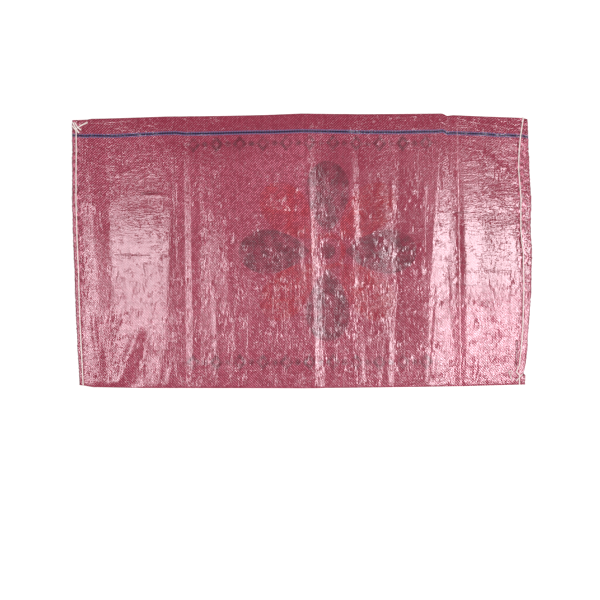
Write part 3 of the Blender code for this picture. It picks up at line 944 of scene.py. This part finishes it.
# each ink on the back and its strength there, and what it leaves of the front's colour from the far panel
inks = {
    "dark": ((0.030, 0.012, 0.022, 1.0), 0.95, (0.38, 0.50, 0.44, 1.0)),
    "red": ((0.42, 0.012, 0.016, 1.0), 0.9, (1.00, 0.42, 0.40, 1.0)),
}
# patchy noises: lumps a metre, detail, the noise where one begins and is full, and the value before and after
patterns = {
    "inkPatches": (60.0, 3.0, 0.32, 0.68, 0.4, 1.0),
    "lineBreaks": (170.0, 1.0, 0.35, 0.6, 0.35, 1.0),
    "dullPatches": (24.0, 3.0, 0.3, 0.7, 0.0, 0.03),
    "hairPatches": (75.0, 2.0, 0.44, 0.60, 0.0, 1.0),
}
# values that change across the bag: metres from the plain edge where each begins and ends, before and after
acrossRamps = {
    "slant": (0.17, 0.29, -0.75, 0.75),
    "drawnIn": (0.10, 0.27, 0.35, 1.0),
    "lyingHair": (0.15, 0.25, 0.2, 0.95),
    "standingHair": (0.15, 0.25, 1.0, 0.0),
}
# kinds of crease: length along the bag and across it in metres, and the noise where one begins and is full
creaseKinds = {
    "knob": (0.0060, 0.0074, 0.42, 0.60),
    "film": (0.0062, 0.0046, 0.46, 0.75),
    "lyingHair": (0.027, 0.0060, 0.5, 0.72),
    "standingHair": (0.0065, 0.013, 0.5, 0.72),
    "longHair": (0.034, 0.007, 0.5, 0.72),
    "lying": (0.030, 0.0030, 0.5, 0.8),
    "standing": (0.0034, 0.045, 0.5, 0.72),
}


Place = namedtuple("Place", "girth along across isBack")


def pattern(desk, girth, kind):
    scale, detail, *span = patterns[kind]
    return desk.ramp(desk.noise(girth, scale, detail), *span)


def creases(desk, girth, kind):
    names = ("alongLength", "acrossLength", "from", "to")
    return desk.group(creaseGroup, girth=girth, **dict(zip(names, creaseKinds[kind])))


def tapeColour(desk, weave):
    look, crossing = clothLook, weave["crossingTone"]
    tone = weave["tapeTone"] * 0.5 + crossing * 0.5
    dark = desk.ramp(tone, *look["toneSpan"], 0.0, look["deepness"])
    colour = desk.mixColour(dark, look["body"], look["deep"])
    colour = desk.mixColour(weave["gap"] * look["deepness"], colour, look["deep"])
    # each crossing's crown is painted paler where the weave shows: partly film haze, partly a painted
    # highlight of the glint on its dome
    bright = desk.ramp(crossing, *look["toneSpan"], look["leastCrown"], 1.0)
    pale = weave["crownGlint"] * bright * desk.mark("weaveShown")
    return desk.mixColour(pale * look["paleness"], colour, look["pale"])


def addPrint(desk, colour, place, crossing):
    # it lies on the far panel and shows through the front, broken up by the tapes
    prints = desk.group(printGroup, along=place.along, across=place.across)
    cover = desk.ramp(crossing, 0.0, 1.0, clothLook["leastInk"], 1.0, smooth=False)
    cover = pattern(desk, place.girth, "inkPatches") * cover
    front = back = colour
    for ink, (printed, strength, shown) in inks.items():
        mask = prints[ink] * cover
        tint = desk.mixColour(mask, (1, 1, 1, 1), shown)
        front = desk.mixColour(1.0, front, tint, "MULTIPLY")
        back = desk.mixColour(mask * strength, back, printed)
    return desk.mixColour(place.isBack, front, back)


def addStripe(desk, colour, place, warpOver):
    # the woven marker stripe. It gives the mask of its last band too, the navy core.
    fromStripe = abs(place.across - clothLook["stripeAt"])
    for full, ended, under, over, bandColour in stripeBands:
        band = desk.ramp(fromStripe, full, ended, 1.0, 0.0)
        band = band * desk.ramp(warpOver, 0.0, 1.0, under, over, smooth=False)
        colour = desk.mixColour(band * (1.0 - place.isBack), colour, bandColour)
    return colour, band


def addCreaseLines(desk, colour, girth):
    # creased film turns pale along its sharpest lines, stress whitening with a painted highlight along their
    # crests, and painted shade darkens others. It gives their height too.
    waver = clothLook["lineWaver"]
    drift = desk.noise(girth, clothLook["lineDrift"], 1.0)
    shift = desk.vector("MULTIPLY", desk.join(drift, drift), (waver * 2, 0.0, 0.0))
    wavy = desk.vector("SUBTRACT", desk.vector("ADD", girth, shift), (waver, 0.0, 0.0))
    whitenedAndGlintLines, paintedShadeLines, heights = [], [], []
    for line in creaseLines:
        run = np.array((line.endAlong - line.along, line.endAcross - line.across, 0.0)) * mm
        length = float(np.linalg.norm(run))
        mask = desk.group(lineGroup, girth=wavy, begin=(line.along * mm, line.across * mm, 0.0),
                          direction=tuple(run / length), length=length, halfWidth=line.halfWidth * mm)["mask"]
        (whitenedAndGlintLines if line.pale > 0 else paintedShadeLines).append(mask * abs(line.pale))
        heights.append(mask * (line.height * mm))
    pale = desk.maths("MINIMUM", sum(whitenedAndGlintLines) * pattern(desk, girth, "lineBreaks"), 1.0)
    colour = desk.mixColour(pale, colour, clothLook["whitened"])
    # painted shade along the dark crease lines
    colour = desk.mixColour(desk.maths("MINIMUM", sum(paintedShadeLines), 1.0), colour, clothLook["deep"])
    return colour, sum(heights)


def addKnobs(desk, colour, place, core):
    # painted highlight on the knobs and painted shade in the nips between them, where the stitches draw the
    # cloth in, most of all in the striped half
    knobs = creases(desk, place.girth, "knob")["height"]
    drawn = desk.mark("besideSeam") * desk.ramp(place.across, *acrossRamps["drawnIn"])
    offStripe = 1.0 - core
    # painted shade in the dips between the knobs
    colour = desk.mixColour((1.0 - knobs) * drawn * offStripe * clothLook["nips"], colour, clothLook["deep"])
    # painted highlight on the knobs' tops
    colour = desk.mixColour(knobs * drawn * offStripe * clothLook["knobPaleness"], colour, clothLook["pale"])
    return colour, knobs * drawn * clothLook["knobHeight"]


def filmHeight(desk, place):
    # hairlines lie along the bag in its striped half and stand across it in the plain one
    look = clothLook
    hairs = 0.0
    for kind in ("lyingHair", "standingHair"):
        line = creases(desk, place.girth, kind)["hairline"]
        hairs = line * desk.ramp(place.across, *acrossRamps[kind]) + hairs
    height = creases(desk, place.girth, "film")["height"] * look["creaseHeight"]
    height = height + hairs * pattern(desk, place.girth, "hairPatches") * look["hairHeight"]
    for kind, output, mark, size in (
        ("longHair", "hairline", "lyingCreases", look["longHairHeight"]),
        ("lying", "height", "lyingCreases", look["lyingHeight"]),
        ("standing", "height", "standingCreases", look["standingHeight"]),
    ):
        height = height + creases(desk, place.girth, kind)[output] * desk.mark(mark) * size
    return height


def clothMaterial(name):
    look = clothLook
    material, desk, shader = newMaterial(name)
    girth = desk.add("ShaderNodeUVMap", uv_map="clothWeave")[0]
    along, around = desk.split(girth)
    across = desk.maths("PINGPONG", around, bag["width"] * mm)
    place = Place(girth, along, across, desk.maths("GREATER_THAN", around, bag["width"] * mm))
    weave = desk.group(weaveGroup, girth=girth, tapeWidth=look["tapeWidth"], tilt=look["tilt"],
                       slant=desk.ramp(across, *acrossRamps["slant"]), lean=look["lean"])

    colour = addPrint(desk, tapeColour(desk, weave), place, weave["crossingTone"])
    colour, core = addStripe(desk, colour, place, weave["warpOver"])
    colour, lineHeight = addCreaseLines(desk, colour, girth)
    colour, knobHeight = addKnobs(desk, colour, place, core)
    weaveShown = desk.maths("MINIMUM", desk.mark("weaveShown"), look["weaveMost"])
    weaveHeight = weave["height"] * weaveShown * (look["weaveSlope"] * look["tapeWidth"])
    dull = pattern(desk, girth, "dullPatches") + weave["crossingTone"] * look["crossingDullness"]
    desk.fill(shader, {
        "Base Color": colour,
        "Roughness": dull + look["roughness"],
        "IOR": look["ior"],
        "Specular Tint": look["glint"],
        "Normal": desk.bump(knobHeight + lineHeight + weaveHeight + filmHeight(desk, place)),
    })
    return material


clothMesh.materials.append(clothMaterial("filmedTapeCloth"))
wall = cloth.modifiers.new("sheetThickness", "SOLIDIFY")
wall.thickness = bag["sheet"] * mm
wall.offset = -1.0

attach(cloth, "root")
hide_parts("bag_cloth")


print("sewing the bottom and the hem")
sewing = {
    "strand": 1.0,  # half thickness of a stitch
    "chainStrand": 0.7,
    "bow": 0.5,  # rise of a stitch between its two holes
    "dip": 0.9,  # how far its ends go into the cloth
    "loopWidth": 2.9,  # of the chain behind
    "chainAway": 0.2,  # from the cloth to the middle of the chain
    "edgeGap": 4.2,  # from a folded edge to the middle of the first stitch
    "bottomEnd": 430.0,  # where the bottom seam's rows end, across the bag
    "pathStep": 1.5,
    "bottomWaver": (0.35, 50, 13),  # how far each seam wanders, over what distance, and its seed
    "mouthWaver": (0.3, 40, 17),
    "sunk": 1.1,  # how far the bottom's front row lies sunk in the cloth about its middle
    "sunkAt": 205.0,
    "sunkReach": 75.0,
    "looseSteps": 6,
    "thread": (0.93, 0.84, 0.81, 1.0),
    "threadShade": (0.70, 0.56, 0.54, 1.0),
    "roughness": 0.75,
    "plyScale": 260.0,
    "fuzzScale": 1400.0,
    "plyDepth": 0.0002,  # metres
}


def threadMaterial(name):
    material, desk, shader = newMaterial(name)
    place = desk.add("ShaderNodeTexCoord")["Object"]
    plies = desk.add("ShaderNodeTexWave", {"Vector": place, "Scale": sewing["plyScale"], "Distortion": 1.5},
                     wave_type="BANDS", bands_direction="DIAGONAL")["Fac"]
    fuzz = desk.add("ShaderNodeTexNoise", {"Vector": place, "Scale": sewing["fuzzScale"], "Detail": 2.0})[0]
    shade = plies * 0.6 + fuzz * 0.4
    desk.fill(shader, {
        "Base Color": desk.mixColour(desk.ramp(shade, 0.2, 0.7), sewing["threadShade"], sewing["thread"]),
        "Roughness": sewing["roughness"],
        "Normal": desk.bump(shade, sewing["plyDepth"]),
    })
    return material


def makeStitchTree():
    # one stitch at every step along a path: a straight strand, or a link of chain
    tree = bpy.data.node_groups.new("stitchRow", "GeometryNodeTree")
    sockets = addInputs(tree, (
        ("path", "NodeSocketGeometry", None),
        ("stitchLength", "NodeSocketFloat", 0.0074),
        ("strandRadius", "NodeSocketFloat", 0.0008),
        ("bow", "NodeSocketFloat", 0.0005),
        ("dip", "NodeSocketFloat", 0.0009),
        ("loopWidth", "NodeSocketFloat", 0.0029),
        ("chain", "NodeSocketBool", False),
        ("thread", "NodeSocketMaterial", None),
    ))
    tree.interface.new_socket("stitches", in_out="OUTPUT", socket_type="NodeSocketGeometry")
    desk = NodeDesk(tree)
    start = desk.add("NodeGroupInput")

    def lifted(curve, rise):
        offset = desk.join(0.0, 0.0, rise)
        return desk.add("GeometryNodeSetPosition", {"Geometry": curve, "Offset": offset})[0]

    def thickened(curve, sides):
        inputs = {"Resolution": sides, "Radius": start["strandRadius"]}
        ring = desk.add("GeometryNodeCurvePrimitiveCircle", inputs)[0]
        inputs = {"Curve": curve, "Profile Curve": ring, "Fill Caps": True}
        return desk.add("GeometryNodeCurveToMesh", inputs)[0]

    length = start["stitchLength"]
    ends = {"Start": desk.join(length * -0.5, 0.0), "End": desk.join(length * 0.5, 0.0)}
    line = desk.add("GeometryNodeCurvePrimitiveLine", ends)[0]
    even = desk.add("GeometryNodeResampleCurve", {"Curve": line, "Count": 8})[0]
    arch = desk.maths("SINE", desk.add("GeometryNodeSplineParameter")["Factor"] * math.pi)
    rise = desk.maths("POWER", arch, 0.5) * (start["bow"] + start["dip"]) - start["dip"]
    strand = thickened(lifted(even, rise), 6)

    # a link lies aslant, so that each runs on under the next
    circle = desk.add("GeometryNodeCurvePrimitiveCircle", {"Resolution": 10, "Radius": 0.5})[0]
    scale = desk.join(length * 1.25, start["loopWidth"], 1.0)
    oval = desk.add("GeometryNodeTransform", {"Geometry": circle, "Scale": scale})[0]
    onward, _ = desk.split(desk.add("GeometryNodeInputPosition")[0])
    link = thickened(lifted(oval, onward * 0.12), 5)

    choice = {"Switch": start["chain"], "False": strand, "True": link}
    stitch = desk.add("GeometryNodeSwitch", choice, input_type="GEOMETRY")[0]
    steps = {"Curve": start["path"], "Length": length}
    places = desk.add("GeometryNodeCurveToPoints", steps, mode="LENGTH")
    tangent = {"Vector": places["Tangent"]}
    turn = desk.add("FunctionNodeAlignRotationToVector", tangent, axis="X", pivot_axis="Z")[0]
    copies = desk.add("GeometryNodeInstanceOnPoints", {
        "Points": places["Points"], "Instance": stitch, "Rotation": turn,
    })[0]
    real = desk.add("GeometryNodeRealizeInstances", (copies,))[0]
    smooth = desk.add("GeometryNodeSetShadeSmooth", {"Geometry": real})[0]
    finish = desk.add("GeometryNodeSetMaterial", {"Geometry": smooth, "Material": start["thread"]})[0]
    desk.add("NodeGroupOutput", (finish,))
    return tree, sockets


def pathCurve(name, places):
    # an open path through places in millimetres
    curve = bpy.data.curves.new(name, "CURVE")
    curve.dimensions = "3D"
    spline = curve.splines.new("POLY")
    spline.points.add(len(places) - 1)
    spline.points.foreach_set("co", np.column_stack((np.array(places) * mm, np.ones(len(places)))).ravel())
    return addObject(name, curve)


def plainMesh(source, name):
    # the evaluated object as a plain mesh at the origin
    evaluated = source.evaluated_get(bpy.context.evaluated_depsgraph_get())
    mesh = bpy.data.meshes.new_from_object(evaluated)
    mesh.name = name
    piece = addObject(name, mesh)
    old = source.data
    bpy.data.objects.remove(source)
    bpy.data.curves.remove(old)
    return piece


def onCloth(along, across, front=True, away=0.0):
    # places on the outside of either panel, in the frame's millimetres
    x, y = flatPlace(along, across)
    z = frontHeight(along, across) + away if front else backHeight(along, across) - away
    return np.column_stack((x + shiftX, y + shiftY, z))


stitchTree, stitchSockets = makeStitchTree()
thread = threadMaterial("sewingThread")


def stitchRow(name, places, chain=False):
    path = pathCurve(name, places)
    row = path.modifiers.new("stitchRow", "NODES")
    row.node_group = stitchTree
    for socket, value in (
        ("stitchLength", seams["stitch"] * mm),
        ("strandRadius", sewing["chainStrand" if chain else "strand"] * mm),
        ("bow", sewing["bow"] * mm),
        ("dip", sewing["dip"] * mm),
        ("loopWidth", sewing["loopWidth"] * mm),
        ("chain", chain),
        ("thread", thread),
    ):
        row[stitchSockets[socket]] = value
    return plainMesh(path, name)


def wander(across, distance, pitch, seed):
    return distance * smoothNoise(across / pitch, across * 0, seed)


def looseThread(name, radius, marks):
    # a smooth tube through listed points on the front
    along, across, rise = np.array(marks).T
    points = onCloth(along, across, away=radius + rise)
    padded = np.vstack((2 * points[0] - points[1], points, 2 * points[-1] - points[-2]))
    smooth = []
    for a, b, c, d in zip(padded, padded[1:], padded[2:], padded[3:]):
        square, cube = 2 * a - 5 * b + 4 * c - d, 3 * b - a - 3 * c + d
        for t in np.arange(sewing["looseSteps"]) / sewing["looseSteps"]:
            smooth.append(0.5 * (2 * b + (c - a) * t + square * t**2 + cube * t**3))
    path = pathCurve(name, smooth + [points[-1]])
    path.data.bevel_depth = radius * mm
    path.data.bevel_resolution = 1
    path.data.use_fill_caps = True
    piece = plainMesh(path, name)
    piece.data.materials.clear()
    piece.data.materials.append(thread)
    piece.data.shade_smooth()
    return piece


bottomAcross = np.arange(sewing["edgeGap"], sewing["bottomEnd"], sewing["pathStep"])
bottomLine = seams["bottomInset"] + wander(bottomAcross, *sewing["bottomWaver"])
sunk = sewing["sunk"] * np.exp(-(((bottomAcross - sewing["sunkAt"]) / sewing["sunkReach"]) ** 2))
mouthAcross = np.arange(sewing["edgeGap"], bag["width"] - sewing["edgeGap"] + 1.0, sewing["pathStep"])
mouthLine = mouthSeamAt(mouthAcross) + wander(mouthAcross, *sewing["mouthWaver"])
behind = {"front": False, "away": sewing["chainAway"]}
bottomFront = stitchRow("bottomStitches", onCloth(bottomLine, bottomAcross, away=sewing["strand"] - sunk))
bottomBack = stitchRow("bottomChain", onCloth(bottomLine, bottomAcross, **behind), chain=True)
hemFront = stitchRow("hemStitches", onCloth(mouthLine, mouthAcross, away=sewing["strand"]))
hemBack = stitchRow("hemChain", onCloth(mouthLine, mouthAcross, **behind), chain=True)

# loose ends: half thickness, then place along, place across and height over the cloth
looseEnds = {
    "bottomRunOut": (1.05, (
        (6.2, 429.0, 0.0), (6.0, 431.0, 0.2), (4.6, 433.5, 0.5), (2.4, 436.5, 0.4), (0.6, 439.6, 0.2),
    )),
    "bottomStrand": (1.15, (
        (1.0, 445.6, 0.0), (2.8, 441.5, 0.8), (5.8, 435.6, 1.9), (8.2, 431.5, 2.1), (10.8, 427.6, 1.2),
    )),
    "secondStrand": (1.05, (
        (4.0, 445.8, 0.0), (5.6, 442.3, 0.6), (7.9, 438.2, 1.7), (11.0, 434.9, 1.9), (14.2, 432.2, 0.9),
    )),
    "bottomTail": (0.62, (
        (6.4, 434.2, 3.3), (9.5, 437.0, 2.6), (13.0, 440.0, 1.2), (18.5, 443.2, 0.4), (24.0, 445.9, 0.1),
    )),
    "frayedTail": (0.5, (
        (9.9, 437.0, 2.8), (13.6, 439.2, 1.3), (18.7, 441.9, 0.5), (24.6, 444.2, 0.1),
    )),
    "mouthLoop": (0.6, (
        (728.7, 6.4, 0.0), (726.5, 11.6, 0.2), (724.2, 17.6, 0.7), (725.3, 22.0, 1.1), (728.6, 24.0, 0.8),
        (731.2, 22.0, 0.5), (730.2, 19.3, 0.3), (726.6, 18.6, 0.1),
    )),
    "mouthTail": (0.7, (
        (746.6, 17.6, 0.2), (743.2, 16.0, 1.6), (740.2, 12.6, 2.2), (737.2, 9.4, 1.0), (734.8, 6.6, 0.0),
    )),
}
threadPieces = [bottomFront, bottomBack, hemFront, hemBack]
for endName, (endRadius, endMarks) in looseEnds.items():
    threadPieces.append(looseThread(endName, endRadius, endMarks))
for piece in threadPieces:
    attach(piece, "root")
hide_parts("bottom_seam_thread")
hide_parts("mouth_hem_thread")
print("thread faces", sum(len(piece.data.polygons) for piece in threadPieces))

print("setting the studio")
studio = {
    "cameraAt": (-0.0033, -0.0817, 2.2),
    "pictureWidth": 1.0,  # metres of table across the picture
    "leftInner": 0.428,  # each softbox's inner side from the camera's axis
    "rightInner": 0.443,
    "boxOuter": 0.95,
    "leftTop": 0.325,
    "rightTop": 0.368,
    "boxBottom": -0.42,
    "leftGlow": 18.0,  # brightness of each softbox's face
    "rightGlow": 28.0,
    "skyStrength": 0.38,
    "tableReach": 4.0,
    "tableAt": -0.0003,
    "table": (0.93, 0.93, 0.93, 1.0),
}


def makeFloor():
    mesh = bpy.data.meshes.new("paleTable")
    reach = studio["tableReach"]
    corners = [(x * reach, y * reach, studio["tableAt"]) for x, y in ((-1, -1), (1, -1), (1, 1), (-1, 1))]
    mesh.from_pydata(corners, [], [(0, 1, 2, 3)])
    floor = addObject("paleTable", mesh)
    material, desk, shader = newMaterial("paleTable")
    desk.fill(shader, {"Base Color": studio["table"], "Roughness": 0.9, "Specular IOR Level": 0.1})
    mesh.materials.append(material)


def makeSoftbox(name, side, inner, top, glow):
    outer, bottom = studio["boxOuter"], studio["boxBottom"]
    light = bpy.data.lights.new(name, "AREA")
    light.shape = "RECTANGLE"
    light.size = outer - inner
    light.size_y = top - bottom
    light.energy = glow * math.pi * light.size * light.size_y
    x, y, z = studio["cameraAt"]
    addObject(name, light).location = (x + side * (inner + outer) / 2, y + (top + bottom) / 2, z)


makeFloor()
makeSoftbox("leftSoftbox", -1, studio["leftInner"], studio["leftTop"], studio["leftGlow"])
makeSoftbox("rightSoftbox", 1, studio["rightInner"], studio["rightTop"], studio["rightGlow"])
world = bpy.data.worlds.new("studioSky")
world.use_nodes = True
world.node_tree.nodes["Background"].inputs[0].default_value = (1, 1, 1, 1)
world.node_tree.nodes["Background"].inputs[1].default_value = studio["skyStrength"]
bpy.context.scene.world = world
bpy.context.scene.view_settings.view_transform = "Standard"

camera = bpy.data.cameras.new("camera")
camera.sensor_width = 36.0
camera.lens = camera.sensor_width * studio["cameraAt"][2] / studio["pictureWidth"]
cameraObject = addObject("camera", camera)
cameraObject.location = studio["cameraAt"]
bpy.context.scene.camera = cameraObject
